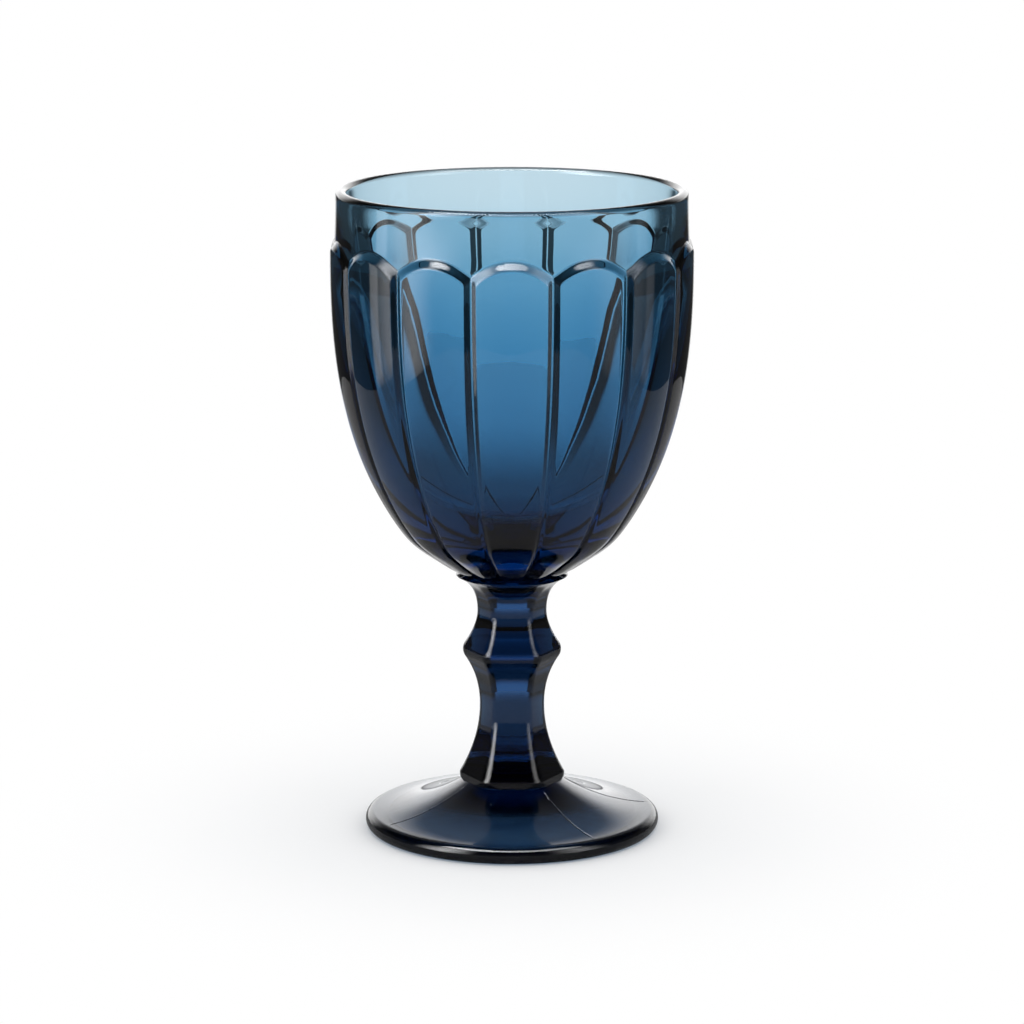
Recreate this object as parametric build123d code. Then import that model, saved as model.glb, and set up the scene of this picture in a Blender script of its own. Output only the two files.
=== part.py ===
from build123d import *
import os
from math import cos, pi, radians, sin, tan

# A stemmed water goblet in pressed glass: bowl, stem and foot, welded hot one on the other.
# Millimetres, standing on z = 0 with its axis on Z. One bowl panel faces -Y.

# Foot
foot_radius = 37.65
foot_edge = 4.5
foot_rise = 8.9
foot_hollow = 5.8
rest_ring_width = 4.0
land_radius = 11.2
seat_slope = 32.0
seat_width = 2.8

# Stem
stem_length = 53.0
stem_base_radius = 13.45
stem_base_edge = 1.0
low_waist_radius = 8.25
low_waist_height = 18.9
knop_radius = 12.55
knop_height = 33.3
knop_nose = 3.8
high_waist_radius = 8.8
high_waist_height = 43.6
collar_radius = 14.2
collar_lip = 0.4
facet_count = 6
facet_share = 0.909
facet_fade = 0.2
skirt_clearance = 0.1

# Bowl
bowl_height = 98.6
bowl_radius = 45.85
band_step = 1.6
band_wall = 2.95
band_flare = 0.3
band_run = 1.5
rim_wall = 2.9
floor_thickness = 12.0
panel_wall = 5.72
inner_taper = 0.1425
panel_count = 14
panel_depth = 2.5
face_share = 0.882
face_drop = 0.5
panel_root = 0.35
arch_radius = 10.0
arch_drop = 12.1
arch_height = 5.8
arch_bevel = 1.35
cut_clearance = 1.5

# Heights where one piece is welded to the next
foot_top = foot_edge + foot_rise
stem_top = foot_top + stem_length
rim_height = stem_top + bowl_height

# The band lies inside the panel crests, and the hollow inside the band and the panels
band_radius = bowl_radius - band_step
inner_radius = band_radius - band_wall
belly_radius = bowl_radius - panel_wall

# Panel crest, from the weld up past the arch: share of bowl radius, share of bowl height
crest_shares = [
    (0.189, -0.004),
    (0.335, 0.016),
    (0.418, 0.041),
    (0.574, 0.096),
    (0.636, 0.132),
    (0.706, 0.183),
    (0.866, 0.345),
    (0.955, 0.507),
    (0.997, 0.700),
    (1.000, 0.913),
]
crest_stations = [0.0, 0.05, 0.09, 0.13, 0.17, 0.21, 0.26, 0.32, 0.40, 0.50, 0.62, 0.74, 0.87, 1.0]


def half_profile(*edges):
    """A face in the XZ plane from edges drawn as (radius, height)."""
    return Plane.XZ * make_face(Wire(edges))


def turned(*edges):
    """A solid of revolution about Z from a closed half profile."""
    return revolve(half_profile(*edges), Axis.Z)


def bend(start, corner, end):
    """A smooth bend leaving start and reaching end along the legs of the corner."""
    return Bezier(start, corner, end)


def make_foot():
    """Round foot: ground resting ring, hollow underside, rounded edge and a rising top."""
    edge = foot_edge / 2
    ring_outer = foot_radius - edge
    ring_inner = ring_outer - rest_ring_width
    seat_radius = land_radius + seat_width
    seat_height = foot_top - seat_width * tan(radians(seat_slope))
    hollow_mid = (ring_inner * 0.6, foot_hollow * 0.68)
    top = Spline(
        (ring_outer, foot_edge),
        (seat_radius, seat_height),
        tangents=[(-1, 0.06), (-cos(radians(seat_slope)), sin(radians(seat_slope)))],
    )
    return turned(
        ThreePointArc((0, foot_hollow), hollow_mid, (ring_inner, 0)),
        Line((ring_inner, 0), (ring_outer, 0)),
        ThreePointArc((ring_outer, 0), (foot_radius, edge), (ring_outer, foot_edge)),
        top,
        Line((seat_radius, seat_height), (land_radius, foot_top)),
        Line((land_radius, foot_top), (0, foot_top)),
        Line((0, foot_top), (0, foot_hollow)),
    )


def stem_side(share, top_radius, top_height):
    """Edges of the stem's side from base to collar, radii taken at a share of the round size."""
    base = stem_base_radius * share
    low = low_waist_radius * share
    knop = knop_radius * share
    high = high_waist_radius * share
    base_at = foot_top + stem_base_edge
    low_at = foot_top + low_waist_height
    knop_at = foot_top + knop_height
    high_at = foot_top + high_waist_height
    nose_low = (knop - 0.17 * knop_nose, knop_at - knop_nose / 2)
    nose_high = (knop - 0.16 * knop_nose, knop_at + knop_nose / 2)
    return [
        bend((base, base_at), (low, base_at + 0.5 * (low_at - base_at)), (low, low_at)),
        bend((low, low_at), (low, low_at + 0.57 * (nose_low[1] - low_at)), nose_low),
        ThreePointArc(nose_low, (knop, knop_at), nose_high),
        bend(nose_high, (high, nose_high[1] + 0.54 * (high_at - nose_high[1])), (high, high_at)),
        bend((high, high_at), (high, high_at + 0.73 * (top_height - high_at)), (top_radius, top_height)),
    ]


def make_stem():
    """Six-sided baluster stem with a knop, a round collar on top and a skirt over the foot."""
    lip_height = stem_top - collar_lip / 2
    base_at = foot_top + stem_base_edge
    slope = tan(radians(seat_slope))
    skirt_radius = stem_base_radius - stem_base_edge * 0.7
    clear_radius = land_radius + skirt_clearance / sin(radians(seat_slope))
    skirt_height = foot_top - (skirt_radius - clear_radius) * slope
    side = stem_side(1.0, collar_radius, lip_height)
    stem = turned(
        Line((0, foot_top), (clear_radius, foot_top)),
        Line((clear_radius, foot_top), (skirt_radius, skirt_height)),
        bend((skirt_radius, skirt_height), (stem_base_radius, skirt_height), (stem_base_radius, base_at)),
        *side,
        Line((collar_radius, lip_height), (collar_radius - collar_lip, stem_top)),
        Line((collar_radius - collar_lip, stem_top), (0, stem_top)),
        Line((0, stem_top), (0, foot_top)),
    )
    flat_base = stem_base_radius * facet_share
    outside = collar_radius * 1.6
    fade_radius = collar_radius * 1.06
    facet_top = stem_top + facet_fade
    facet_low = foot_top - foot_rise / 2
    facet = half_profile(
        Line((flat_base, facet_low), (flat_base, base_at)),
        *stem_side(facet_share, fade_radius, facet_top),
        Line((fade_radius, facet_top), (outside, facet_top)),
        Line((outside, facet_top), (outside, facet_low)),
        Line((outside, facet_low), (flat_base, facet_low)),
    )
    cutter = extrude(facet, collar_radius * 1.2, both=True)
    for i in range(facet_count):
        stem -= Rot(0, 0, -90 + 360 / facet_count * i) * cutter
    return stem


def crest_path():
    """Line of the panel crests in the XZ plane, from the weld to above the arch."""
    points = [(bowl_radius * r, stem_top + bowl_height * h) for r, h in crest_shares]
    return Spline(*points)


def panel_station(path, at):
    """Crest point, outward normal, depth and half width of a panel at a place on its path."""
    point = path @ at
    along = path % at
    normal = (along.Y, -along.X)
    swell = min(1, max(0, (at - 0.25) / 0.35))
    depth = panel_depth * (0.6 + 0.4 * swell ** 2 * (3 - 2 * swell) - 0.18 * (1 - at) ** 24)
    half_width = (point.X - depth * normal[0]) * tan(pi / panel_count)
    return point, normal, depth, half_width


def make_panel(path):
    """One raised panel along +X: a gently rounded face between bevels, ending in a bevelled arch."""
    sections = []
    for at in crest_stations:
        point, normal, depth, half_width = panel_station(path, at)
        face_side = half_width * face_share
        face_low = -depth * face_drop
        side = half_width * (2 - face_share)
        low = -depth * (2 - face_drop)
        plane = Plane(
            origin=(point.X, 0, point.Y),
            x_dir=(0, 1, 0),
            z_dir=(normal[1], 0, -normal[0]),
        )
        outline = Wire([
            Line((-side, low), (-face_side, face_low)),
            ThreePointArc((-face_side, face_low), (0, 0), (face_side, face_low)),
            Line((face_side, face_low), (side, low)),
            Line((side, low), (-side, low)),
        ])
        sections.append(plane * make_face(outline))
    panel = loft(sections)
    arch_at = rim_height - arch_drop - arch_radius
    start = bowl_radius - panel_depth * 2
    reach = bowl_radius - start + cut_clearance
    foot_of_bevel = arch_radius + arch_bevel * (band_radius + band_flare - start)
    top_of_bevel = foot_of_bevel - arch_bevel * reach
    arch = Pos(start + reach / 2, 0, arch_at) * Rot(0, 90, 0) * Cone(foot_of_bevel, top_of_bevel, reach)
    above = Pos(start, 0, arch_at) * Box(
        reach, arch_radius * 6, arch_radius * 4, align=(Align.MIN, Align.CENTER, Align.MIN)
    )
    return panel - (above - arch)


def make_bowl():
    """Thick pressed bowl: smooth band and lip, arched panels all round, smooth inside."""
    path = crest_path()
    roots = []
    for at in crest_stations[1:-2]:
        point, normal, depth, half_width = panel_station(path, at)
        groove = half_width / sin(pi / panel_count)
        height = point.Y - depth * normal[1]
        roots.append((groove - panel_root * normal[0], height - panel_root * normal[1]))
    groove_top = (bowl_radius - panel_depth) / cos(pi / panel_count)
    roots.append((groove_top - panel_root, rim_height - arch_drop - arch_height))
    band_low = rim_height - arch_drop - band_run
    band_mid = rim_height - arch_drop / 2
    lip = rim_wall / 2
    lip_height = rim_height - lip
    lip_outer = inner_radius + rim_wall
    floor = stem_top + floor_thickness
    belly_at = rim_height - bowl_height * 0.25
    lower_at = floor + 0.4 * (belly_at - floor)
    taper_end = belly_at + (inner_radius - belly_radius) / inner_taper
    core_side = Spline((roots[0][0] * 0.72, stem_top), *roots)
    shoulder = Spline(
        roots[-1],
        (band_radius + band_flare, band_low),
        tangents=[core_side % 1, (-0.05, 1)],
    )
    core = turned(
        Line((0, stem_top), core_side @ 0),
        core_side,
        shoulder,
        Spline((band_radius + band_flare, band_low), (band_radius, band_mid), (lip_outer, lip_height)),
        ThreePointArc((lip_outer, lip_height), (inner_radius + lip, rim_height), (inner_radius, lip_height)),
        Line((inner_radius, lip_height), (0, lip_height)),
        Line((0, lip_height), (0, stem_top)),
    )
    panel = make_panel(path)
    panels = [Rot(0, 0, -90 + 360 / panel_count * i) * panel for i in range(panel_count)]
    hollow = turned(
        Bezier(
            (0, floor),
            (belly_radius * 0.63, floor),
            (belly_radius - inner_taper * (belly_at - lower_at), lower_at),
            (belly_radius, belly_at),
        ),
        bend((belly_radius, belly_at), (inner_radius, taper_end), (inner_radius, lip_height)),
        Line((inner_radius, lip_height), (0, lip_height)),
        Line((0, lip_height), (0, floor)),
    )
    below = Pos(0, 0, stem_top) * Cylinder(
        bowl_radius, bowl_height, align=(Align.CENTER, Align.CENTER, Align.MAX)
    )
    bowl = core.fuse(*panels)
    return bowl - hollow - below


os.makedirs("parts", exist_ok=True)
export_step(make_foot(), "parts/foot.step")
export_step(make_stem(), "parts/stem.step")
export_step(make_bowl(), "parts/bowl.step")
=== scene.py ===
import logging
import math
from dataclasses import dataclass, field
from enum import Enum
from typing import Any

import bpy
import numpy as np
from bpy.types import Material, Mesh, Node, NodeSocket, NodeTree, Object
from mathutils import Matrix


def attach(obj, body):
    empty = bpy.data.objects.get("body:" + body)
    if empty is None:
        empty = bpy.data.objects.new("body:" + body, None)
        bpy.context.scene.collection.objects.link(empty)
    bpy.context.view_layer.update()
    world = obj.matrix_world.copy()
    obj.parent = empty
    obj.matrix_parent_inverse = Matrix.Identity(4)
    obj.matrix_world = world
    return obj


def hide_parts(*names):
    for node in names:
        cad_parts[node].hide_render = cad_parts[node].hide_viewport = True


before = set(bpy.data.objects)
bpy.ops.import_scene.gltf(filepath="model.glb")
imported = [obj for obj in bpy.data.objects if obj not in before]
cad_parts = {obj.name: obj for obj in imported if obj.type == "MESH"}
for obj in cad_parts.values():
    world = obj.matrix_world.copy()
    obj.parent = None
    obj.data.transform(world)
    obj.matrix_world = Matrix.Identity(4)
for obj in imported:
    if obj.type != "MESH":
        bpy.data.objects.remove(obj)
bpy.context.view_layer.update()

log = logging.getLogger("goblet")

# All sizes of the glass are in millimetres and become metres when a skin is made.
MM = 0.001
# Two welded faces lie this far apart, so that neither covers the other.
WELD_GAP = 0.02
# Rows of the weld under the stem: radii on the flat, then shares of the stem's outline.
LAND_ROWS = (3.0, 7.0)
SEAT_ROWS = (0.93, 0.97)
# Rows of the weld under the bowl, as shares of its outline.
CORE_ROWS = (0.2, 0.45, 0.75)
# Direction of the camera in degrees, where a facet and a panel have their middle.
FRONT = -90.0
WHITE = (1.0, 1.0, 1.0, 1.0)
# Short names for types that are used often.
Array = np.ndarray
Pair = tuple[float, float]
Row = tuple[float, ...]


class Zone(Enum):
    """What a strip of skin is: polished, welded to the next piece, or left satin from the mould."""

    OPEN = "open"
    WELD = "weld"
    SATIN = "satin"


class Side(Enum):
    """Side of the goblet that a lamp stands on, as the camera sees it."""

    LEFT = -1
    RIGHT = 1


def eased(value: Array) -> Array:
    """Smooth step from 0 to 1 of values held between 0 and 1."""
    held = np.clip(value, 0.0, 1.0)
    return held * held * (3.0 - 2.0 * held)


def apart(turns: Array, middle: float, whole: float) -> Array:
    """Angle of each column from the nearest middle, where middles repeat after a whole angle."""
    return np.abs((turns - middle + whole / 2) % whole - whole / 2)


def both_sides(half: Array) -> Array:
    """Values across a facet or panel, mirrored from those between its middle and its far edge."""
    return np.concatenate((-half[:0:-1], half[:-1]))


def at_steps(places: Array, values: Array) -> Array:
    """Value on each line at its own place among the steps up the line."""
    steps = np.arange(len(values), dtype=float)
    return np.array([np.interp(place, steps, line) for place, line in zip(places, values.T)])


def steps_at(height: float, heights: Array) -> Array:
    """Place among the steps where each line reaches a height."""
    steps = np.arange(len(heights), dtype=float)
    return np.array([np.interp(height, line, steps) for line in heights.T])


def lower(first: Array, second: Array, reach: float) -> Array:
    """The smaller of two surfaces, rounded where they cross.

    Args:
        first: Radii of one surface.
        second: Radii of the other.
        reach: Difference in radius over which the edge is rounded.

    Returns:
        The radii of the joined surface.
    """
    near = np.maximum(reach - np.abs(first - second), 0.0) / reach
    return np.minimum(first, second) - near * near * reach / 4.0


def higher(first: Array, second: Array, reach: float) -> Array:
    """The larger of two surfaces, rounded where they cross."""
    return -lower(-first, -second, reach)


def cubic_run(at: Array, first: Any, leave: Any, last: Any, reach: Any) -> Array:
    """Points on a smooth run with a given speed at both ends.

    Args:
        at: Places along the run, from 0 to 1, one row each.
        first: Where it starts.
        leave: Speed at the start.
        last: Where it ends.
        reach: Speed at the end.

    Returns:
        The points, one row each.
    """
    return (
        (2 * at ** 3 - 3 * at ** 2 + 1) * first
        + (at ** 3 - 2 * at ** 2 + at) * leave
        + (3 * at ** 2 - 2 * at ** 3) * last
        + (at ** 3 - at ** 2) * reach
    )


def places_along(steps: int) -> Array:
    """Even places along a run of so many strips, from 0 to 1, one row each."""
    return np.linspace(0.0, 1.0, steps + 1)[:, None]


def bend(start: tuple, corner: tuple, end: tuple, steps: int) -> Array:
    """Points on a smooth bend of so many strips that leaves and ends along the legs of a corner."""
    first, mid, last = (np.array(p, float) for p in (start, corner, end))
    return cubic_run(places_along(steps), first, 2 * (mid - first), last, 2 * (last - mid))


def swing(start: tuple, start_way: tuple, end: tuple, end_way: tuple, steps: int) -> Array:
    """Points on a smooth line that leaves one point and reaches another in given directions.

    Args:
        start: First point as radius and height.
        start_way: Direction at the first point.
        end: Last point.
        end_way: Direction at the last point.
        steps: Number of strips along the line.

    Returns:
        The points, one row each.
    """
    first, last = np.array(start, float), np.array(end, float)
    span = np.linalg.norm(last - first)
    leave, reach = (np.array(way) / np.linalg.norm(way) * span for way in (start_way, end_way))
    return cubic_run(places_along(steps), first, leave, last, reach)


def arc(centre: tuple, radius: float, start: float, end: float, steps: int) -> Array:
    """Points on an arc, with its angles in degrees from the outward direction."""
    turn = np.radians(np.linspace(start, end, steps + 1))
    return np.column_stack((centre[0] + radius * np.cos(turn), centre[1] + radius * np.sin(turn)))


def arc_through(start: tuple, middle: tuple, end: tuple, steps: int) -> Array:
    """Points on the arc through three points.

    Args:
        start: First point as radius and height.
        middle: A point on the arc.
        end: Last point.
        steps: Number of strips along the arc.

    Returns:
        The points, one row each.
    """
    a, b, c = (np.array(p, float) for p in (start, middle, end))
    rows = 2 * np.array([b - a, c - a])
    centre = np.linalg.solve(rows, np.array([b @ b - a @ a, c @ c - a @ a]))
    first, last = (math.degrees(math.atan2(*(p - centre)[::-1])) for p in (a, c))
    return arc(centre, np.linalg.norm(a - centre), first, last, steps)


def smooth_line(points: list, count: int = 801) -> Array:
    """Evenly spaced points on a smooth line through the given ones.

    Args:
        points: Points that the line passes through, as radius and height.
        count: Number of points on the line.

    Returns:
        The points, one row each.
    """
    through = np.array(points, float)
    gaps = np.linalg.norm(np.diff(through, axis=0), axis=1)
    at = np.concatenate(([0.0], np.cumsum(gaps)))
    n = len(through)
    table = np.zeros((n, n))
    known = np.zeros((n, 2))
    table[0, 0] = table[-1, -1] = 1.0
    order = min(3, n - 1)
    known[0] = np.polyfit(at[: order + 1] - at[0], through[: order + 1], order)[-2]
    known[-1] = np.polyfit(at[-order - 1:] - at[-1], through[-order - 1:], order)[-2]
    rise = np.diff(through, axis=0) / gaps[:, None] ** 2
    for i in range(1, n - 1):
        before, after = gaps[i - 1], gaps[i]
        table[i, i - 1: i + 2] = 1 / before, 2 / before + 2 / after, 1 / after
        known[i] = 3 * (rise[i - 1] + rise[i])
    slopes = np.linalg.solve(table, known)
    fine = np.linspace(0.0, at[-1], 6 * count)
    leg = np.clip(np.searchsorted(at, fine, side="right") - 1, 0, n - 2)
    width = gaps[leg][:, None]
    along = (fine - at[leg])[:, None] / width
    leave, reach = slopes[leg] * width, slopes[leg + 1] * width
    line = cubic_run(along, through[leg], leave, through[leg + 1], reach)
    length = np.concatenate(([0.0], np.cumsum(np.linalg.norm(np.diff(line, axis=0), axis=1))))
    even = np.linspace(0.0, length[-1], count)
    return np.column_stack([np.interp(even, length, line[:, k]) for k in (0, 1)])


def place_in_scene(name: str, data: Any) -> Object:
    """Puts a new object in the scene.

    Args:
        name: Name of the object.
        data: Its mesh, lamp or camera.

    Returns:
        The object.
    """
    thing = bpy.data.objects.new(name, data)
    bpy.context.scene.collection.objects.link(thing)
    return thing


@dataclass
class Skin:
    """Closed skin of one piece, made of rings from a start on the axis to an end on it.

    Every ring has a point at each of the turns round the axis, which are in radians.
    """

    name: str
    turns: Array
    start: float
    rings: list[Array] = field(default_factory=list)
    zones: list[Zone] = field(default_factory=list)
    creases: set[int] = field(default_factory=set)

    def ring(self, radius: Any, height: Any, zone: Zone = Zone.OPEN, crease: bool = False) -> None:
        """Adds a ring, and the strip of skin that leads to it.

        Args:
            radius: Radius of the ring, one number or one for each column.
            height: Height of the ring, one number or one for each column.
            zone: What the strip is.
            crease: Whether the skin has a sharp edge along the ring.
        """
        columns = len(self.turns)
        r = np.broadcast_to(np.asarray(radius, float), columns)
        z = np.broadcast_to(np.asarray(height, float), columns)
        self.rings.append(np.column_stack((r * np.cos(self.turns), r * np.sin(self.turns), z)))
        self.zones.append(zone)
        if crease:
            self.creases.add(len(self.rings) - 1)

    def close(self, end: float, zone: Zone = Zone.OPEN) -> Object:
        """Closes the skin at a point on the axis and makes its object.

        Args:
            end: Height of the point.
            zone: What the last strip is.

        Returns:
            The new object, in metres.
        """
        columns = len(self.turns)
        points = np.vstack([[(0.0, 0.0, self.start)], *self.rings, [(0.0, 0.0, end)]])
        last = len(points) - 1
        top = last - columns
        step = [(i, (i + 1) % columns) for i in range(columns)]
        faces: list[tuple] = [(0, 1 + j, 1 + i) for i, j in step]
        for low in range(1, top, columns):
            high = low + columns
            faces += [(low + i, low + j, high + j, high + i) for i, j in step]
        faces += [(top + i, top + j, last) for i, j in step]
        zones = [strip for strip in (*self.zones, zone) for _ in step]
        mesh = bpy.data.meshes.new(self.name)
        mesh.from_pydata((points * MM).tolist(), [], faces)
        mesh.polygons.foreach_set("use_smooth", [True] * len(faces))
        for kind in (Zone.WELD, Zone.SATIN):
            share = [float(z is kind) for z in zones]
            mesh.attributes.new(kind.value, "FLOAT", "FACE").data.foreach_set("value", share)
        self.crease(mesh)
        mesh.update()
        return place_in_scene(self.name, mesh)

    def crease(self, mesh: Mesh) -> None:
        """Marks the edges along the creased rings sharp.

        Args:
            mesh: Mesh of the skin.
        """
        pairs = np.zeros(len(mesh.edges) * 2, int)
        mesh.edges.foreach_get("vertices", pairs)
        owner = (pairs.reshape(-1, 2) - 1) // len(self.turns)
        sharp = (owner[:, 0] == owner[:, 1]) & np.isin(owner[:, 0], sorted(self.creases))
        mesh.attributes.new("sharp_edge", "BOOLEAN", "EDGE").data.foreach_set("value", sharp)


@dataclass(frozen=True)
class Fade:
    """Eased change of level as the value that drives it grows."""

    start: float
    end: float
    low: float
    high: float

    @classmethod
    def by_angle(cls, start: float, end: float, low: float, high: float) -> "Fade":
        """A fade driven by an angle, with its start and end in degrees."""
        return cls(math.radians(start), math.radians(end), low, high)

    @property
    def feeds(self) -> dict[str, float]:
        """Numbers for the inputs of the fade's node."""
        return {"From Min": self.start, "From Max": self.end, "To Min": self.low, "To Max": self.high}


@dataclass
class Bench:
    """Sets out nodes in one material or world and wires them."""

    tree: NodeTree

    @classmethod
    def on(cls, owner: Any) -> "Bench":
        """Clears the nodes of a material or world.

        Args:
            owner: The material or world.

        Returns:
            A bench on its nodes.
        """
        owner.use_nodes = True
        owner.node_tree.nodes.clear()
        return cls(owner.node_tree)

    def add(self, kind: str, label: str, feeds: dict | None = None, **settings: Any) -> Node:
        """Adds a node.

        Args:
            kind: Blender's name for the kind of node.
            label: What the node is for.
            feeds: Number, colour or output for each input that is not left as it is.
            **settings: Properties to set on the node.

        Returns:
            The new node.
        """
        node = self.tree.nodes.new(kind)
        node.label = label
        for name, value in settings.items():
            setattr(node, name, value)
        for name, value in (feeds or {}).items():
            if isinstance(value, NodeSocket):
                self.tree.links.new(value, node.inputs[name])
            else:
                node.inputs[name].default_value = value
        return node

    def sum(self, operation: str, first: Any, second: Any) -> NodeSocket:
        """Output of a sum of two numbers or outputs."""
        return self.add("ShaderNodeMath", "sum", {0: first, 1: second}, operation=operation).outputs[0]

    def mix(self, share: NodeSocket, first: Any, second: Any) -> NodeSocket:
        """Output that goes from a first number or output to a second as the share grows."""
        feeds = {"Factor": share, "A": first, "B": second}
        return self.add("ShaderNodeMix", "mix", feeds, data_type="FLOAT").outputs["Result"]

    def ramp(self, value: NodeSocket, fade: Fade) -> NodeSocket:
        """Output that follows a fade as the value grows."""
        feeds = {"Value": value, **fade.feeds}
        return self.add("ShaderNodeMapRange", "fade", feeds, interpolation_type="SMOOTHSTEP").outputs[0]

    def turn_from_backdrop(self, parts: Node) -> NodeSocket:
        """Output with the angle of a place or direction from the middle of the backdrop."""
        around = self.sum("ARCTAN2", parts.outputs["X"], parts.outputs["Y"])
        return self.sum("ABSOLUTE", around, 0.0)


@dataclass(frozen=True)
class BlueGlass:
    """Deep blue pressed glass, coloured through and fire-polished."""

    name: str = "blue_glass"
    tint: tuple[float, float, float] = (0.04, 0.53, 0.75)
    depth: float = 200.0
    bending: float = 1.5
    satin: float = 0.22
    swell_size: float = 55.0
    swell_detail: float = 1.0
    ripple_size: float = 240.0
    ripple_detail: float = 2.0
    ripple_share: float = 0.03
    relief: float = 0.25
    relief_height: float = 0.0002

    def material(self) -> Material:
        """Makes the glass: clear at its skin, coloured inside, and open where it is welded.

        Returns:
            The material.
        """
        glass = bpy.data.materials.new(self.name)
        bench = Bench.on(glass)
        weld = bench.add("ShaderNodeAttribute", "welded faces", attribute_name=Zone.WELD.value)
        satin = bench.add("ShaderNodeAttribute", "satin faces", attribute_name=Zone.SATIN.value)
        skin = bench.add("ShaderNodeBsdfPrincipled", "polished skin", {
            "Base Color": WHITE,
            "Transmission Weight": 1.0,
            "IOR": bench.ramp(weld.outputs["Fac"], Fade(0.0, 1.0, self.bending, 1.0)),
            "Roughness": bench.ramp(satin.outputs["Fac"], Fade(0.0, 1.0, 0.0, self.satin)),
            "Normal": self.surface(bench),
        })
        feeds = {"Color": (*self.tint, 1.0), "Density": self.depth}
        body = bench.add("ShaderNodeVolumeAbsorption", "colour through the glass", feeds)
        feeds = {"Surface": skin.outputs["BSDF"], "Volume": body.outputs["Volume"]}
        bench.add("ShaderNodeOutputMaterial", "glass", feeds)
        return glass

    def surface(self, bench: Bench) -> NodeSocket:
        """Slow swell and faint ripple of the skin, as a mould leaves them.

        Args:
            bench: Bench of the material.

        Returns:
            The output that holds the normal.
        """
        place = bench.add("ShaderNodeTexCoord", "place on the glass").outputs["Object"]
        levels = []
        for label, size, detail in (
            ("swell from the mould", self.swell_size, self.swell_detail),
            ("ripple of the polish", self.ripple_size, self.ripple_detail),
        ):
            feeds = {"Vector": place, "Scale": size, "Detail": detail}
            noise = bench.add("ShaderNodeTexNoise", label, feeds, noise_dimensions="3D")
            levels.append(noise.outputs["Fac"])
        faint = bench.sum("MULTIPLY", levels[1], self.ripple_share)
        relief = bench.sum("ADD", levels[0], faint)
        feeds = {"Height": relief, "Strength": self.relief, "Distance": self.relief_height}
        return bench.add("ShaderNodeBump", "relief of the skin", feeds).outputs["Normal"]


@dataclass(frozen=True)
class DeepBlueGlass(BlueGlass):
    """The same glass in a deeper colour, as the stem and the foot show it."""

    name: str = "deep_blue_glass"
    tint: tuple[float, float, float] = (0.16, 0.45, 0.67)
    depth: float = 300.0


@dataclass(frozen=True)
class PaleTableWithPaintedLight:
    """Pale table top, white for the camera, with light and shade painted on where the glass sees it
    through or mirrors it, by metres and angles from the axis.
    """

    name: str = "pale_table_painted_light"
    white: float = 0.97
    backdrop: Fade = Fade(0.045, 0.14, 0.0, 1.0)
    # Painted light and shade of the table as the glass sees it through: dim near the goblet, brighter
    # far behind, darker far to the sides, and a painted pool of light under the foot.
    dark_ways: Fade = Fade.by_angle(9, 21, 0.0, 1.0)
    bright_away: Fade = Fade(0.13, 0.43, 0.26, 0.82)
    dark_away: Fade = Fade(0.13, 0.3354, 0.26, 0.03)
    under_foot: Fade = Fade(0.026, 0.0416, 0.55, 0.0)
    # Painted light and shade of the table as the glass mirrors it: a dim level, with a painted bright
    # patch close behind the goblet.
    mirrored: Fade = Fade(0.08, 0.25, 0.32, 0.35)
    close: Fade = Fade(0.10, 0.30, 1.0, 0.0)
    behind: Fade = Fade.by_angle(18, 36, 1.0, 0.0)
    mirrored_behind: float = 0.95

    def material(self) -> Material:
        """Makes the table top: white for the camera, with painted light and shade where the glass sees
        it through or mirrors it.

        Returns:
            The material.
        """
        pale = bpy.data.materials.new(self.name)
        bench = Bench.on(pale)
        path = bench.add("ShaderNodeLightPath", "kind of ray").outputs
        place = bench.add("ShaderNodeTexCoord", "place on the table").outputs["Object"]
        split = bench.add("ShaderNodeSeparateXYZ", "parts of the place", {"Vector": place})
        away = bench.add("ShaderNodeVectorMath", "distance away", {0: place}, operation="LENGTH")
        off, far = bench.turn_from_backdrop(split), away.outputs["Value"]
        turn = bench.sum("PINGPONG", off, math.pi / 4)
        # Painted light and shade as the glass sees the table through: dim near the goblet, brighter far
        # behind, darker far to the sides, with a painted pool of light under the foot.
        aside = bench.ramp(turn, self.dark_ways)
        bright = bench.ramp(far, self.bright_away)
        dark = bench.ramp(far, self.dark_away)
        ways = bench.mix(aside, bright, dark)
        under = bench.ramp(far, self.under_foot)
        through = bench.sum("MAXIMUM", ways, under)
        # Painted light and shade as the glass mirrors the table: a dim level, with a painted bright
        # patch close behind the goblet.
        dim_in_mirror = bench.ramp(split.outputs["Y"], self.mirrored)
        close = bench.ramp(far, self.close)
        behind = bench.ramp(off, self.behind)
        patch = bench.sum("MINIMUM", close, behind)
        mirrored = bench.mix(patch, dim_in_mirror, self.mirrored_behind)
        glass = bench.mix(path["Is Transmission Ray"], mirrored, through)
        fade = bench.ramp(far, self.backdrop)
        glow = bench.sum("MULTIPLY", fade, path["Is Camera Ray"])
        seen = bench.mix(path["Is Glossy Ray"], self.white, glass)
        top = bench.add("ShaderNodeBsdfPrincipled", "table top", {
            "Base Color": bench.mix(glow, seen, 0.0),
            "Roughness": 1.0,
            "Specular IOR Level": 0.0,
            "Emission Color": WHITE,
            "Emission Strength": glow,
        })
        bench.add("ShaderNodeOutputMaterial", "table", {"Surface": top.outputs["BSDF"]})
        return pale


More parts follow.
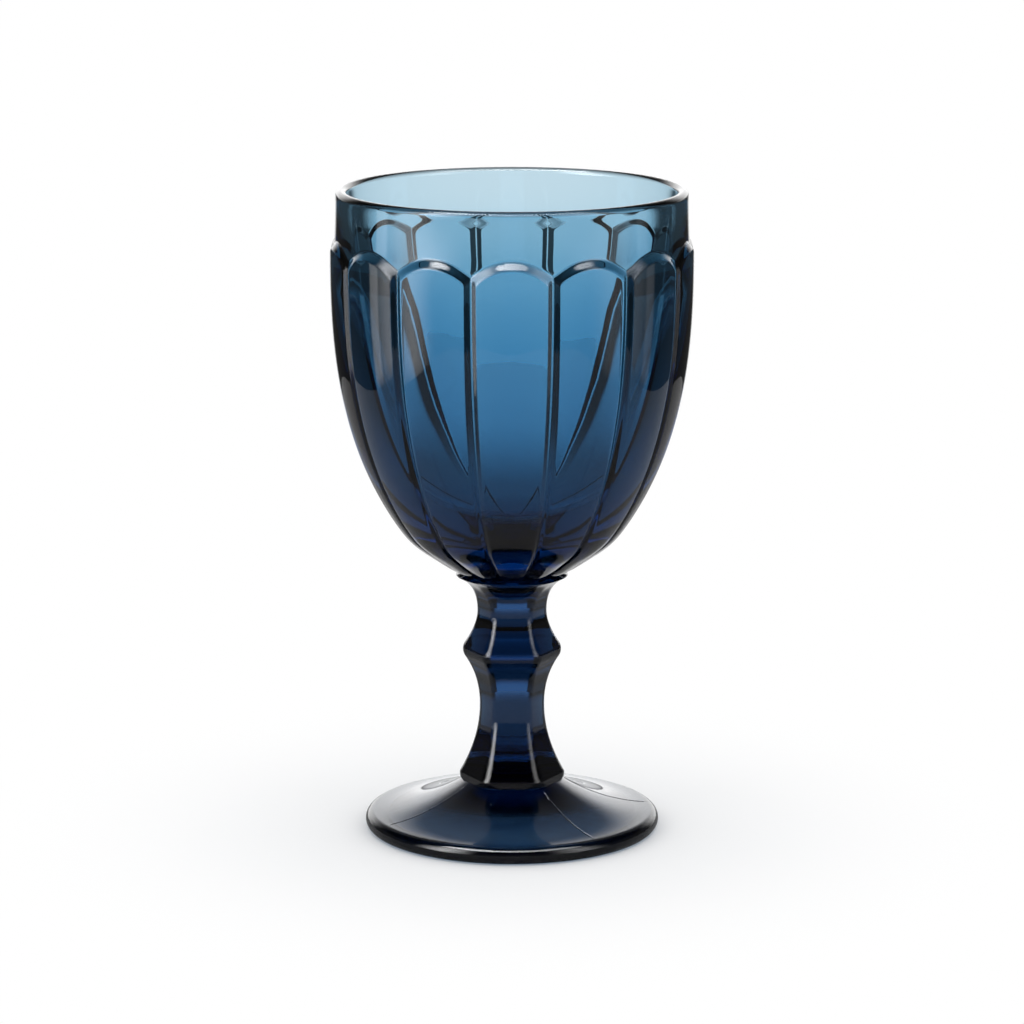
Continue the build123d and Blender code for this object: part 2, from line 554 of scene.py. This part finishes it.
@dataclass
class Foot:
    """Round foot: resting ring, hollow underside, rounded edge and a top that rises to the stem."""

    radius: float = 37.65
    edge: float = 4.5
    rise: float = 8.9
    hollow: float = 5.8
    ring_width: float = 4.0
    # Eased edge inside the ring: how far in, how high
    ring_ease: Pair = (0.25, 0.03)
    # Cone of the hollow: where it would start and where it is even, as shares of its radius
    cone_start: float = 0.34
    cone_even: float = 0.6
    land: float = 11.2
    slope: float = 32.0
    seat: float = 2.8
    edge_way: Pair = (-1.0, 0.06)
    columns: int = 216
    seams: Row = (-153.0, -54.0, 9.0)
    seam_height: float = 0.1
    seam_half_angle: float = 0.55
    seam_fade_rows: int = 3
    # Columns from the middle of a seam and their room, in half angles of it
    half_seam: Row = (0.0, 0.25, 0.5, 0.75, 1.0, 1.6)
    seam_room: float = 2.0

    @property
    def top(self) -> float:
        """Height where the stem stands."""
        return self.edge + self.rise

    def seat_height(self, radius: Array) -> Array:
        """Height of the seat under the stem at a radius."""
        fall = np.maximum(np.asarray(radius, float) - self.land, 0.0)
        return self.top - fall * math.tan(math.radians(self.slope))

    def turns(self) -> Array:
        """Angles of the columns, closer together along each mould seam.

        Returns:
            The angles in radians, in rising order.
        """
        even = np.arange(self.columns) * 360.0 / self.columns - 180.0
        half = np.array(self.half_seam)
        fine = np.append(both_sides(half), half[-1]) * self.seam_half_angle
        near = [apart(even, s, 360.0) < self.seam_room * self.seam_half_angle for s in self.seams]
        kept = even[~np.any(near, axis=0)]
        return np.radians(np.sort(np.concatenate([kept, *(s + fine for s in self.seams)])))

    def seam(self, turns: Array) -> Array:
        """Height of the mould seams at each column, from 0 to 1."""
        off = [apart(np.degrees(turns), s, 360.0) / self.seam_half_angle for s in self.seams]
        return np.max([np.cos(np.minimum(o, 1.0) * math.pi / 2) ** 2 for o in off], axis=0)

    def build(self, stem: "Stem") -> Object:
        """Makes the foot's skin.

        Args:
            stem: The stem that stands on the foot.

        Returns:
            The foot.
        """
        half = self.edge / 2
        outer = self.radius - half
        inner = outer - self.ring_width
        seat_radius = self.land + self.seat
        turns = self.turns()
        skin = Skin("goblet_foot", turns, self.hollow)
        cone_from, cone_at = self.cone_start * inner, self.cone_even * inner
        radii = np.linspace(cone_at, inner, 10)
        heights = self.hollow * (inner - radii) / (inner - cone_from)
        under = bend((0.0, self.hollow), (cone_from, self.hollow), (cone_at, heights[0]), 12)
        eased_edge = (inner - self.ring_ease[0], self.ring_ease[1])
        flat = ((r, 0.0) for r in (inner + 0.05, inner + 0.5, outer - 0.4))
        for r, z in (*under[1:], *zip(radii[1:-1], heights[1:-1]), eased_edge, *flat):
            skin.ring(r, z, Zone.SATIN)
        for r, z in arc((outer, half), half, -90.0, 90.0, 20):
            skin.ring(r, z)
        ridge = self.seam(turns) * self.seam_height
        lean = math.radians(self.slope)
        seat_way = (-math.cos(lean), math.sin(lean))
        seat_point = (seat_radius, float(self.seat_height(seat_radius)))
        rising = swing((outer, self.edge), self.edge_way, seat_point, seat_way, 30)
        for i, (r, z) in enumerate(rising[1:]):
            fade = min(1.0, (i + 1) / self.seam_fade_rows)
            skin.ring(r, z + ridge * fade)
        outline = stem.base_outline(turns)
        for share in (0.35, 0.7, 0.9, 1.0):
            r = seat_radius + (outline - seat_radius) * share
            skin.ring(r, self.seat_height(r) + ridge * (1 - share), crease=share == 1.0)
        for share in reversed(SEAT_ROWS):
            skin.ring(outline * share, self.seat_height(outline * share), Zone.WELD)
        for r in (self.land, *reversed(LAND_ROWS)):
            skin.ring(r, self.top, Zone.WELD)
        return skin.close(self.top, Zone.WELD)


@dataclass
class Stem:
    """Six-sided baluster stem with a knop in its middle and a round collar on top."""

    foot: Foot
    length: float = 53.0
    base_radius: float = 13.45
    base_edge: float = 1.0
    skirt_share: float = 0.7
    skirt_lift: float = 0.2
    skirt_rows: int = 12
    low_waist: float = 8.25
    low_waist_at: float = 18.9
    knop: float = 12.55
    knop_at: float = 33.3
    knop_nose: float = 3.8
    # Fall of the nose under and over its middle, as shares of its height
    nose_back: Pair = (0.17, 0.16)
    high_waist: float = 8.8
    high_waist_at: float = 43.6
    # Corner of each bend of the side, as a share of its height, from low to high
    corners: Row = (0.5, 0.57, 0.54, 0.73)
    collar: float = 14.2
    collar_lip: float = 0.4
    collar_round: float = 0.25
    collar_turn: Pair = (20.0, 80.0)
    facets: int = 6
    facet_share: float = 0.909
    # The facets run out past the collar and start below the foot's top
    facet_out: float = 1.06
    facet_fade: float = 0.2
    facet_below: float = 3.0
    least_ridge: float = 0.05
    # Columns from the middle of a facet to its ridge, in degrees
    half_facet: Row = (
        0, 2.5, 5, 7.5, 10, 12.5, 15, 17, 19, 20.5, 22, 23.3, 24.6, 25.9, 27.2, 28.6, 30,
    )

    @property
    def top(self) -> float:
        """Height where the bowl stands."""
        return self.foot.top + self.length

    @property
    def skirt(self) -> float:
        """Radius at the bottom of the base, where it meets the foot."""
        return self.base_radius - self.skirt_share * self.base_edge

    def side(self, share: float, top_radius: float, top_height: float) -> Array:
        """Side of the stem from base to collar, at a share of its round size.

        Args:
            share: Share of the round radii.
            top_radius: Radius at the top end.
            top_height: Height of the top end.

        Returns:
            Points as radius and height, from low to high.
        """
        radii = (self.base_radius, self.low_waist, self.knop, self.high_waist)
        places = (self.base_edge, self.low_waist_at, self.knop_at, self.high_waist_at)
        base, low, knop, high = zip((share * r for r in radii), (self.foot.top + h for h in places))
        back = [b * self.knop_nose for b in self.nose_back]
        under = (knop[0] - back[0], knop[1] - self.knop_nose / 2)
        over = (knop[0] - back[1], knop[1] + self.knop_nose / 2)

        def run(start: tuple, waist: tuple, corner: float, end: tuple, steps: int) -> Array:
            """Bend from start to end, with its corner at the radius of a waist."""
            return bend(start, (waist[0], start[1] + corner * (end[1] - start[1])), end, steps)[1:]

        return np.vstack([
            base,
            run(base, low, self.corners[0], low, 22),
            run(low, low, self.corners[1], under, 18),
            arc_through(under, knop, over, 10)[1:],
            run(over, high, self.corners[2], high, 16),
            run(high, high, self.corners[3], (top_radius, top_height), 18),
        ])

    def turns(self) -> Array:
        """Angles of the columns, closer together along the ridges between facets."""
        middles = FRONT + np.arange(self.facets) * 360.0 / self.facets
        return np.radians(np.concatenate([m + both_sides(np.array(self.half_facet)) for m in middles]))

    def base_outline(self, turns: Array) -> Array:
        """Radius of the stem's base at each angle, where it meets the foot."""
        return self.section(self.skirt, self.base_radius * self.facet_share, turns)

    def section(self, full: Any, flat: Any, turns: Array) -> Array:
        """Section of the stem: flat facets with round ridges between them.

        Args:
            full: Radius that the ridges reach, one number or one for each angle.
            flat: Distance of the facets from the axis, likewise.
            turns: Angles round the axis.

        Returns:
            The radius at each angle.
        """
        step = math.pi / self.facets
        off = apart(turns, math.radians(FRONT), 2 * step)
        lean = math.cos(step)
        ridge = np.clip((flat / lean - full) / (1 / lean - 1), self.least_ridge, full)
        centre = full - ridge
        face = centre * lean + ridge
        from_ridge = step - off
        rounded = centre * np.cos(from_ridge)
        rounded += np.sqrt(np.maximum(ridge ** 2 - (centre * np.sin(from_ridge)) ** 2, 0.0))
        on_face = np.tan(off) * face < centre * math.sin(step)
        return np.where(on_face, face / np.cos(off), rounded)

    def build(self, bowl: "Bowl") -> Object:
        """Makes the stem's skin.

        Args:
            bowl: The bowl that stands on the stem.

        Returns:
            The stem.
        """
        turns = self.turns()
        foot = self.foot
        outline = self.base_outline(turns)
        seat = foot.seat_height(outline) + WELD_GAP
        skin = Skin("goblet_stem", turns, foot.top + WELD_GAP)
        for r in (*LAND_ROWS, foot.land):
            skin.ring(r, foot.top + WELD_GAP, Zone.WELD)
        for share in SEAT_ROWS:
            skin.ring(outline * share, foot.seat_height(outline * share) + WELD_GAP, Zone.WELD)
        skin.ring(outline, seat, Zone.WELD, crease=True)
        lip_at = self.top - self.collar_lip / 2
        rows = self.skirt_rows
        base = (self.base_radius, foot.top + self.base_edge)
        skirt = (self.skirt, foot.top - (self.skirt - foot.land) * math.tan(math.radians(foot.slope)))
        round_side = np.vstack((
            bend(skirt, (base[0], skirt[1] + self.skirt_lift), base, rows),
            self.side(1.0, self.collar, lip_at)[1:],
        ))
        flat_side = self.side(self.facet_share, self.collar * self.facet_out, self.top + self.facet_fade)
        flat_side = np.vstack(((flat_side[0, 0], foot.top - self.facet_below), flat_side))
        shares = (round_side[1:rows + 1, 1] - skirt[1]) / (base[1] - skirt[1])
        heights = [seat + (base[1] - seat) * share for share in shares]
        heights += [np.full_like(turns, z) for z in round_side[rows + 1:, 1]]
        for z in heights:
            full = np.interp(z, round_side[:, 1], round_side[:, 0])
            flat = np.interp(z, flat_side[:, 1], flat_side[:, 0])
            skin.ring(self.section(full, flat, turns), z)
        collar_centre = (self.collar - self.collar_round, lip_at - WELD_GAP)
        for r, z in arc(collar_centre, self.collar_round, *self.collar_turn, 3):
            skin.ring(r, min(z, self.top - WELD_GAP))
        weld, level = bowl.weld_outline(turns), self.top - WELD_GAP / 2
        ledge = self.collar - self.collar_lip
        for share in (0.1, 0.4, 0.75, 1.0):
            skin.ring(ledge + (weld - ledge) * share, level, crease=share == 1.0)
        for share in reversed(CORE_ROWS):
            skin.ring(weld * share, level, Zone.WELD)
        return skin.close(level, Zone.WELD)


@dataclass
class Bowl:
    """Thick pressed bowl: arched panels all round, a smooth band and lip above, smooth inside."""

    base: float
    height: float = 98.6
    radius: float = 45.85
    band_step: float = 1.6
    band_wall: float = 2.95
    band_flare: float = 0.3
    band_run: float = 1.5
    rim_wall: float = 2.9
    floor: float = 12.0
    panel_wall: float = 5.72
    inner_taper: float = 0.1425
    panels: int = 14
    panel_depth: float = 2.5
    # Depth of a panel low down and lost at its foot, and where it swells, all as shares
    low_depth: float = 0.6
    foot_loss: float = 0.45
    foot_power: int = 24
    swell_start: float = 0.25
    swell_run: float = 0.35
    face_share: float = 0.882
    face_drop: float = 0.5
    panel_root: float = 0.35
    arch_radius: float = 10.0
    arch_drop: float = 12.1
    arch_height: float = 5.8
    arch_bevel: float = 1.35
    groove_round: float = 0.3
    groove_share: float = 0.09
    edge_reach: float = 0.25
    shoulder_ways: tuple[Pair, ...] = ((0.02, 1.0), (-0.05, 1.0))
    # How far the core goes on behind the panels, inward and down
    core_below: Pair = (2.0, 30.0)
    # Inside: height of the belly, then height and radius of the turn to the floor, as shares
    belly_share: float = 0.25
    turn_height: float = 0.4
    turn_radius: float = 0.63
    # Height where the even rows up the panels end, and how they bunch low down
    face_top: float = 136.0
    row_bunch: float = 0.45
    # Rows under and over the bevel of an arch, by distance, and on it, by share
    bevel_clear: float = 2.2
    under_bevel: Row = (-1.6, -1.1, -0.75, -0.5, -0.3, -0.15)
    on_bevel: Row = (0, 0.12, 0.25, 0.4, 0.6, 0.75, 0.88, 1)
    over_bevel: Row = (0.15, 0.3, 0.5, 0.8, 1.2, 1.8)
    look_above: float = 3.0
    # Columns from the middle of a panel to its groove, as shares of the way left
    from_groove: Row = (
        1, 0.86, 0.72, 0.58, 0.45, 0.34, 0.25, 0.195, 0.16, 0.138, 0.122, 0.107, 0.09,
        0.068, 0.045, 0.026, 0.012, 0,
    )
    # Crest of a panel from the weld to above the arch: shares of radius and height
    crest_shares: tuple[Pair, ...] = (
        (0.189, -0.004), (0.335, 0.016), (0.418, 0.041), (0.574, 0.096), (0.636, 0.132),
        (0.706, 0.183), (0.866, 0.345), (0.955, 0.507), (0.997, 0.700), (1.000, 0.913),
    )

    @property
    def rim(self) -> float:
        """Height of the lip."""
        return self.base + self.height

    @property
    def half_turn(self) -> float:
        """Angle from the middle of a panel to its groove."""
        return math.pi / self.panels

    def face(self, turns: Array) -> tuple[Array, Array]:
        """Outer face of a panel along lines up the bowl.

        Args:
            turns: Angle of each line from the middle of the panel, up to the groove.

        Returns:
            Radius and height along each line: one row for each step up, one column for each line.
        """
        points = [(self.radius * r, self.base + self.height * h) for r, h in self.crest_shares]
        crest = smooth_line(points)
        way = np.gradient(crest, axis=0)
        way /= np.linalg.norm(way, axis=1)[:, None]
        out_r, out_z = way[:, 1:2], -way[:, 0:1]
        at = np.linspace(0.0, 1.0, len(crest))[:, None]
        swell = self.low_depth + (1 - self.low_depth) * eased((at - self.swell_start) / self.swell_run)
        depth = self.panel_depth * (swell - self.foot_loss * (1 - at) ** self.foot_power)
        centre_r, centre_z = crest[:, 0:1], crest[:, 1:2]
        half = (centre_r - depth * out_r) * math.tan(self.half_turn)
        edge, fall = half * self.face_share, depth * self.face_drop
        rounding = (edge ** 2 + fall ** 2) / (2 * fall)
        slope = np.tan(turns)[None, :]
        tilt = slope * out_r
        swing_to = slope * (centre_r / rounding - out_r) / np.sqrt(1 + tilt ** 2)
        across = np.arctan(tilt) + np.arcsin(np.clip(swing_to, -1.0, 1.0))
        bevel = (depth - fall) / (half - edge)
        side = slope * (centre_r + out_r * (bevel * edge - fall)) / (1 + tilt * bevel)
        sink = lower(rounding * (np.cos(across) - 1), bevel * (edge - side) - fall, self.edge_reach)
        r = (centre_r + sink * out_r) / np.cos(turns)[None, :]
        z = centre_z + sink * out_z
        vee = np.tan(np.maximum(np.arctan(bevel) - self.half_turn, 0.0))
        fillet = np.minimum(self.groove_round, self.groove_share * half)
        from_root = r * (self.half_turn - turns)[None, :]
        lift = vee * fillet * np.exp(-from_root / fillet)
        return r + lift * out_r, z + lift * out_z

    def weld_outline(self, turns: Array) -> Array:
        """Radius of the bowl's fluted outline at each angle, where it stands on the collar."""
        r, z = self.face(apart(turns, math.radians(FRONT), 2 * self.half_turn))
        return at_steps(steps_at(self.base + WELD_GAP / 2, z), r)

    def core(self) -> Array:
        """Outside of the bowl without its panels, from the groove tops to the lip.

        Returns:
            Points as radius and height, from low to high.
        """
        root = (self.radius - self.panel_depth) / math.cos(self.half_turn) - self.panel_root
        root_at = self.rim - self.arch_drop - self.arch_height
        band = self.radius - self.band_step
        band_low = self.rim - self.arch_drop - self.band_run
        lip_outer = band - self.band_wall + self.rim_wall
        leave, reach = self.shoulder_ways
        flared = (band + self.band_flare, band_low)
        shoulder = swing((root, root_at), leave, flared, reach, 60)
        upper = smooth_line([
            flared,
            (band, self.rim - self.arch_drop / 2),
            (lip_outer, self.rim - self.rim_wall / 2),
        ], 121)
        below = np.array([(root - self.core_below[0], root_at - self.core_below[1])])
        return np.vstack((below, shoulder, upper[1:]))

    def top_zone(self, turns: Array, low: Array, face: tuple[Array, Array]) -> list:
        """Rows of the arch and the band, bunched along the edges of the bevel.

        Args:
            turns: Angle of each line from the middle of the panel.
            low: Height where the rows start on each line.
            face: Radius and height of the panel face along each line.

        Returns:
            Pairs of radius and height, one of each for each line.
        """
        core = self.core()
        band = self.radius - self.band_step + self.band_flare
        arch_at = self.rim - self.arch_drop - self.arch_radius
        whole = self.arch_radius + self.arch_bevel * band

        def surfaces(z: Array) -> tuple[Array, Array, Array]:
            """Radii of panel face, conical bevel and core.

            Args:
                z: Heights, one column for each line.

            Returns:
                The three radii at each height.
            """
            columns = zip(z.T, face[1].T, face[0].T)
            flat = np.column_stack([np.interp(*column) for column in columns])
            a = np.sin(turns) ** 2 - (self.arch_bevel * np.cos(turns)) ** 2
            b = 2 * whole * self.arch_bevel * np.cos(turns)
            d = np.maximum(z - arch_at, 0.0) ** 2 - whole ** 2
            slant = 2 * d / (-b - np.sqrt(np.maximum(b * b - 4 * a * d, 0.0)))
            return flat, slant, np.interp(z, core[:, 1], core[:, 0])

        up = np.linspace(arch_at, self.rim - self.arch_drop + self.look_above, 3000)
        flat, slant, inner = surfaces(np.tile(up[:, None], len(turns)))
        starts = up[np.argmax((slant < flat) | (inner > flat), axis=0)]
        on_panel = np.minimum(flat, slant) > inner
        ends = np.where(on_panel.any(axis=0), up[-1 - np.argmax(on_panel[::-1], axis=0)], starts)
        ends = np.maximum(ends, starts)
        lip_low = self.rim - self.rim_wall / 2
        even = np.linspace(0, 1, 11)[1:]
        clear, over = self.bevel_clear, self.over_bevel[-1]
        plan = [low + (starts - clear - low) * s for s in even]
        plan += [starts + off for off in self.under_bevel]
        plan += [starts + (ends - starts) * s for s in self.on_bevel]
        plan += [ends + off for off in self.over_bevel]
        plan += [ends + over + (lip_low - ends - over) * s for s in even]
        flat, slant, inner = surfaces(np.array(plan))
        panel = lower(flat, slant, self.edge_reach)
        return list(zip(higher(panel, inner, self.edge_reach), plan))

    def inside(self, inner: float) -> Array:
        """Inside of the bowl, from under the lip down to near the axis.

        Args:
            inner: Radius of the inside at the lip.

        Returns:
            Points as radius and height.
        """
        floor_at = self.base + self.floor
        belly = self.radius - self.panel_wall
        belly_at = self.rim - self.height * self.belly_share
        lower_at = floor_at + self.turn_height * (belly_at - floor_at)
        taper_end = belly_at + (inner - belly) / self.inner_taper
        upper = bend((inner, self.rim - self.rim_wall / 2), (inner, taper_end), (belly, belly_at), 16)
        knots = np.array([
            (belly, belly_at), (belly - self.inner_taper * (belly_at - lower_at), lower_at),
            (belly * self.turn_radius, floor_at), (0.0, floor_at),
        ])
        leave, _, reach = 3 * np.diff(knots, axis=0)
        down = cubic_run(places_along(49)[1:-1], knots[0], leave, knots[3], reach)
        return np.vstack((upper[1:], down))

    def build(self) -> Object:
        """Makes the bowl's skin.

        Returns:
            The bowl.
        """
        half = (1.0 - np.array(self.from_groove)) * self.half_turn
        pick = np.abs(both_sides(np.arange(len(half))))
        front, whole = math.radians(FRONT), 2 * self.half_turn
        turns = np.concatenate([both_sides(half) + whole * i + front for i in range(self.panels)])
        around = np.tile(pick, self.panels)
        face = self.face(half)
        level = self.base + WELD_GAP / 2
        skin = Skin("goblet_bowl", turns, level)
        start, stop = steps_at(level, face[1]), steps_at(self.face_top, face[1])
        outline = at_steps(start, face[0])[around]
        for share in CORE_ROWS:
            skin.ring(outline * share, level, Zone.WELD)
        skin.ring(outline, level, Zone.WELD, crease=True)
        rise = np.linspace(0.0, 1.0, 61)[1:]
        for share in rise - self.row_bunch * rise * (1 - rise):
            r, z = (at_steps(start + (stop - start) * share, values) for values in face)
            skin.ring(r[around], z[around])
        for r, z in self.top_zone(half, z, face):
            skin.ring(r[around], z[around])
        inner = self.radius - self.band_step - self.band_wall
        lip = self.rim_wall / 2
        for r, z in arc((inner + lip, self.rim - lip), lip, 0.0, 180.0, 20)[1:]:
            skin.ring(r, z)
        for r, z in self.inside(inner):
            skin.ring(r, z)
        return skin.close(self.base + self.floor)


@dataclass(frozen=True)
class SoftBox:
    """Lamp face that the glass mirrors, placed by its direction from the goblet.

    Start and end are in degrees from the middle of the backdrop, to either side. Low and high
    are sines of the angle above the table. Sides fade over radians and ends over such sines.
    """

    start: float
    end: float
    low: float
    high: float
    level: float
    end_soft: float = 0.03
    side_soft: float = 0.03


@dataclass
class Studio:
    """Table, soft lamps, backdrop and the camera that stands where the photograph was taken."""

    lens: float = 147.888
    camera_place: tuple[float, float, float] = (0.0, -1.045375, 0.30314)
    camera_pitch: float = 11.9256
    table_half_width: float = 0.34
    table_half_depth: float = 0.455
    table_top: float = -0.00005
    table_under: float = -0.02
    # Power that squares off the oval of the table
    table_square: float = 0.5
    lamp_size: Pair = (0.16, 0.7)
    lamp_turn: float = 58.0
    lamp_reach: float = 0.8
    lamp_height: float = 0.42
    lamp_aim: float = 0.1
    lamp_levels: tuple[tuple[Side, float], ...] = ((Side.LEFT, 0.4), (Side.RIGHT, 0.3))
    bounces: int = 32
    room_light: float = 1.06
    # Room as it is seen through the glass, by angle or by the sine of the height
    panel: Fade = Fade.by_angle(7.0, 10.5, 1.0, 0.08)
    side_panels: Fade = Fade.by_angle(40, 70, 1.0, 0.5)
    panel_tops: Fade = Fade(0.0, 0.12, 1.0, 0.2)
    above_panels: Fade = Fade(0.25, 0.45, 0.0, 1.0)
    tent_through: float = 0.3
    # Room as the glass mirrors it
    backdrop: Fade = Fade.by_angle(10, 20, 1.0, 0.05)
    tent_width: Fade = Fade.by_angle(22, 50, 2.0, 0.08)
    tent_height: Fade = Fade(0.25, 0.52, 1.0, 0.10)
    tent_foot: Fade = Fade(-0.05, 0.02, 0.0, 1.0)
    left_side: Fade = Fade(-0.5, 0.8, 1.0, 0.3)
    first_surface: Fade = Fade(2.0, 3.0, 1.0, 0.0)
    boxes: tuple[SoftBox, ...] = (
        SoftBox(82, 92, -0.35, -0.05, 1.7),
        SoftBox(95, 120, -0.35, -0.05, 2.6, 0.06, 0.25),
        SoftBox(110, 138, -0.05, 0.74, 8.0, 0.13, 0.26),
        SoftBox(95, 182, 0.80, 0.94, 15.0),
    )

    def camera(self) -> None:
        """Sets up the camera."""
        data = bpy.data.cameras.new("camera")
        data.lens = self.lens
        camera = place_in_scene("camera", data)
        camera.location = self.camera_place
        camera.rotation_euler = (math.radians(90.0 - self.camera_pitch), 0.0, 0.0)
        bpy.context.scene.camera = camera

    def table(self, pale_top_and_painted_light: PaleTableWithPaintedLight) -> None:
        """Makes the table top, a little below the resting ring.

        Args:
            pale_top_and_painted_light: The pale table top, with painted light and shade where the glass
                sees it.
        """
        turn = np.linspace(0.0, 2 * math.pi, 96, endpoint=False)
        c, s = np.cos(turn), np.sin(turn)
        x = self.table_half_width * np.sign(c) * np.abs(c) ** self.table_square
        y = self.table_half_depth * np.sign(s) * np.abs(s) ** self.table_square
        points = [(a, b, z) for z in (self.table_top, self.table_under) for a, b in zip(x, y)]
        n = len(turn)
        faces = [tuple(range(n)), tuple(range(2 * n - 1, n - 1, -1))]
        faces += [(n + i, n + (i + 1) % n, (i + 1) % n, i) for i in range(n)]
        mesh = bpy.data.meshes.new("table")
        mesh.from_pydata(points, [], faces)
        mesh.materials.append(pale_top_and_painted_light.material())
        table = place_in_scene("table", mesh)

    def lamp(self, side: Side, level: float) -> None:
        """Hangs a tall soft lamp beside the goblet.

        Args:
            side: Side that it stands on.
            level: Brightness of its face, where 1 is white.
        """
        data = bpy.data.lights.new(f"lamp_{side.name.lower()}", "AREA")
        data.shape = "RECTANGLE"
        data.size, data.size_y = self.lamp_size
        data.energy = level * math.pi * data.size * data.size_y
        lamp = place_in_scene(data.name, data)
        angle = math.radians(self.lamp_turn) * side.value
        reach = self.lamp_reach
        lamp.location = (reach * math.sin(angle), -reach * math.cos(angle), self.lamp_height)
        lean = math.atan2(self.lamp_height - self.lamp_aim, reach)
        lamp.rotation_euler = (math.pi / 2 - lean, 0.0, angle)

    def room(self) -> None:
        """Lights the room: white for the camera, a bright backdrop and darker sides for the glass."""
        world = bpy.data.worlds.new("room")
        bpy.context.scene.world = world
        bench = Bench.on(world)
        path = bench.add("ShaderNodeLightPath", "kind of ray").outputs
        way = bench.add("ShaderNodeTexCoord", "direction").outputs["Generated"]
        split = bench.add("ShaderNodeSeparateXYZ", "direction parts", {"Vector": way})
        off, height = bench.turn_from_backdrop(split), split.outputs["Z"]
        through = self.seen_through(bench, off, height)
        narrow = bench.ramp(off, self.backdrop)
        wide = bench.ramp(off, self.tent_width)
        high = bench.ramp(height, self.tent_height)
        tent = bench.sum("MULTIPLY", wide, high)
        above = bench.ramp(height, self.tent_foot)
        white = bench.mix(above, narrow, tent)
        lit = bench.ramp(path["Ray Depth"], self.first_surface)
        left = bench.ramp(split.outputs["X"], self.left_side)
        lamps = bench.sum("MULTIPLY", self.strips(bench, off, height), left)
        outside = bench.sum("MULTIPLY", lamps, lit)
        mirrored = bench.sum("ADD", white, outside)
        glass = bench.mix(path["Is Transmission Ray"], mirrored, through)
        level = bench.mix(path["Is Glossy Ray"], self.room_light, glass)
        bounced = bench.sum("MINIMUM", path["Diffuse Depth"], 1.0)
        level = bench.mix(bounced, level, self.room_light)
        level = bench.mix(path["Is Camera Ray"], level, 1.0)
        light = bench.add("ShaderNodeBackground", "room light", {"Color": WHITE, "Strength": level})
        bench.add("ShaderNodeOutputWorld", "room", {"Surface": light.outputs["Background"]})

    def seen_through(self, bench: Bench, off: NodeSocket, height: NodeSocket) -> NodeSocket:
        """Bright panels with dark gaps under a dim tent, as they are seen through the glass.

        Args:
            bench: Bench of the world.
            off: Angle from the middle of the backdrop.
            height: Height of the direction.

        Returns:
            The output that holds the brightness.
        """
        turn = bench.sum("PINGPONG", off, math.pi / 4)
        panel = bench.ramp(turn, self.panel)
        side = bench.ramp(off, self.side_panels)
        top = bench.ramp(height, self.panel_tops)
        panels = bench.sum("MULTIPLY", panel, side)
        low = bench.sum("MULTIPLY", panels, top)
        above = bench.ramp(height, self.above_panels)
        return bench.mix(above, low, self.tent_through)

    def strips(self, bench: Bench, off: NodeSocket, height: NodeSocket) -> NodeSocket:
        """Soft boxes beside and above the camera, as the outside of the glass mirrors them.

        Args:
            bench: Bench of the world.
            off: Angle from the middle of the backdrop.
            height: Height of the direction.

        Returns:
            The output that holds the brightness.
        """
        total: Any = 0.0
        for box in self.boxes:
            start, end = math.radians(box.start), math.radians(box.end)
            side, tip = box.side_soft, box.end_soft
            face: Any = box.level
            for drive, edge in (
                (off, Fade(start - side, start + side, 0.0, 1.0)),
                (off, Fade(end - side, end + side, 1.0, 0.0)),
                (height, Fade(box.low - tip, box.low + tip, 0.0, 1.0)),
                (height, Fade(box.high - tip, box.high + tip, 1.0, 0.0)),
            ):
                face = bench.sum("MULTIPLY", face, bench.ramp(drive, edge))
            total = bench.sum("ADD", total, face)
        return total

    def build(self, pale_top_and_painted_light: PaleTableWithPaintedLight) -> None:
        """Sets up the whole studio.

        Args:
            pale_top_and_painted_light: The pale table top, with painted light and shade where the glass
                sees it.
        """
        self.camera()
        self.table(pale_top_and_painted_light)
        for side, level in self.lamp_levels:
            self.lamp(side, level)
        self.room()
        scene = bpy.context.scene
        scene.view_settings.view_transform = "Standard"
        scene.cycles.max_bounces = self.bounces
        scene.cycles.transmission_bounces = self.bounces
        scene.cycles.glossy_bounces = self.bounces


def dress(piece: Object, node: str, glass: Material) -> None:
    """Gives a piece its glass and lets it stand for its solid.

    Args:
        piece: Skin of the piece.
        node: Name of the solid that it stands for.
        glass: The glass.
    """
    piece.data.materials.append(glass)
    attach(piece, "root")
    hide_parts(node)
    log.info("%s stands for %s, %d points", piece.name, node, len(piece.data.vertices))


def main() -> None:
    """Builds the goblet from the foot up, then the studio round it."""
    logging.basicConfig(level=logging.INFO, format="%(message)s")
    foot = Foot()
    stem = Stem(foot)
    bowl = Bowl(base=stem.top)
    glass = BlueGlass().material()
    deep = DeepBlueGlass().material()
    dress(foot.build(stem), "foot", deep)
    dress(stem.build(bowl), "stem", deep)
    dress(bowl.build(), "bowl", glass)
    Studio().build(PaleTableWithPaintedLight())
    log.info("studio set up")


if __name__ == "__main__":
    main()
